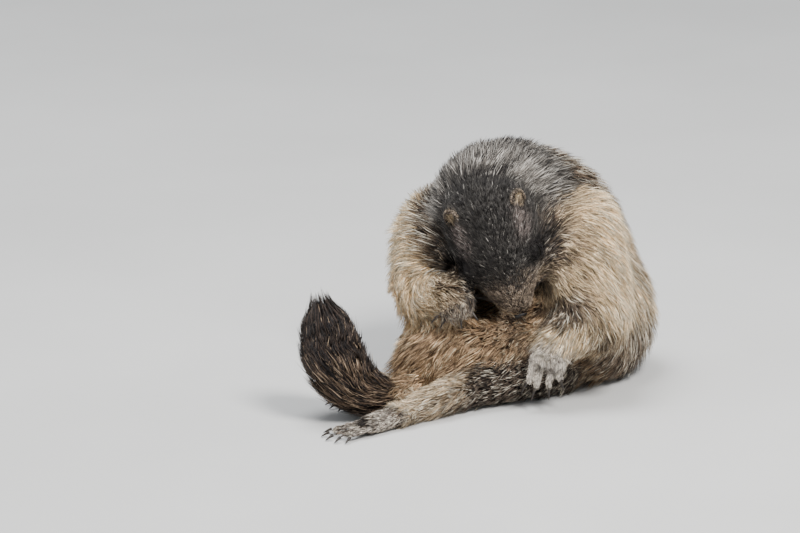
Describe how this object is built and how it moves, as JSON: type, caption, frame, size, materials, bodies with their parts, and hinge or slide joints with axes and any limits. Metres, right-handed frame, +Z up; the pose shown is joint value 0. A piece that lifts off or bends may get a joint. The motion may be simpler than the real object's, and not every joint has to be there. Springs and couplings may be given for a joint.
{
  "type": "alpine marmot",
  "caption": "Life-size still model of a small stout mammal with a bushy tail, sitting bowed over to groom its belly.",
  "frame": {"origin": "on the floor, under the middle of the object's box", "axes": "+Z up; +X from the hind feet and tail to the rump, the object's longest way; -Y towards the side that the crown of the bowed head faces"},
  "size_m": [0.2868, 0.2524, 0.2004],
  "materials": {
    "coat_grey": "charcoal and grey fur with silvery tips",
    "coat_rust": "rusty brown fur, greyer along the back",
    "coat_cream": "cream and buff fur with dark roots",
    "coat_grizzled": "fur grizzled in black and cream",
    "coat_pale": "short pale grey fur on paws",
    "coat_dark": "long brown and black hair of the tail",
    "eye": "wet dark brown eye",
    "nose": "moist black nose pad",
    "claw": "dark horn"
  },
  "bodies": {
    "root": {"head": "coat_grey", "neck": "coat_grey", "torso": "coat_rust", "tail_root": "coat_rust", "upper_arm_left": "coat_cream", "upper_arm_right": "coat_cream", "ear_left": "coat_cream", "ear_right": "coat_cream", "thigh_left": "coat_grizzled", "thigh_right": "coat_grizzled", "shank_left": "coat_grizzled", "shank_right": "coat_grizzled", "forearm_left": "coat_grizzled", "forearm_right": "coat_grizzled", "hand_left": "coat_pale", "hand_right": "coat_pale", "foot_left": "coat_pale", "foot_right": "coat_pale", "tail_brush": "coat_dark", "eye_left": "eye", "eye_right": "eye", "nose": "nose", "claw_foot_left_1": "claw", "claw_foot_left_2": "claw", "claw_foot_left_3": "claw", "claw_foot_left_4": "claw", "claw_foot_left_5": "claw", "claw_foot_right_1": "claw", "claw_foot_right_2": "claw", "claw_foot_right_3": "claw", "claw_foot_right_4": "claw", "claw_foot_right_5": "claw", "claw_hand_left_1": "claw", "claw_hand_left_2": "claw", "claw_hand_left_3": "claw", "claw_hand_left_4": "claw", "claw_hand_right_1": "claw", "claw_hand_right_2": "claw", "claw_hand_right_3": "claw", "claw_hand_right_4": "claw"}
  },
  "joints": []
}
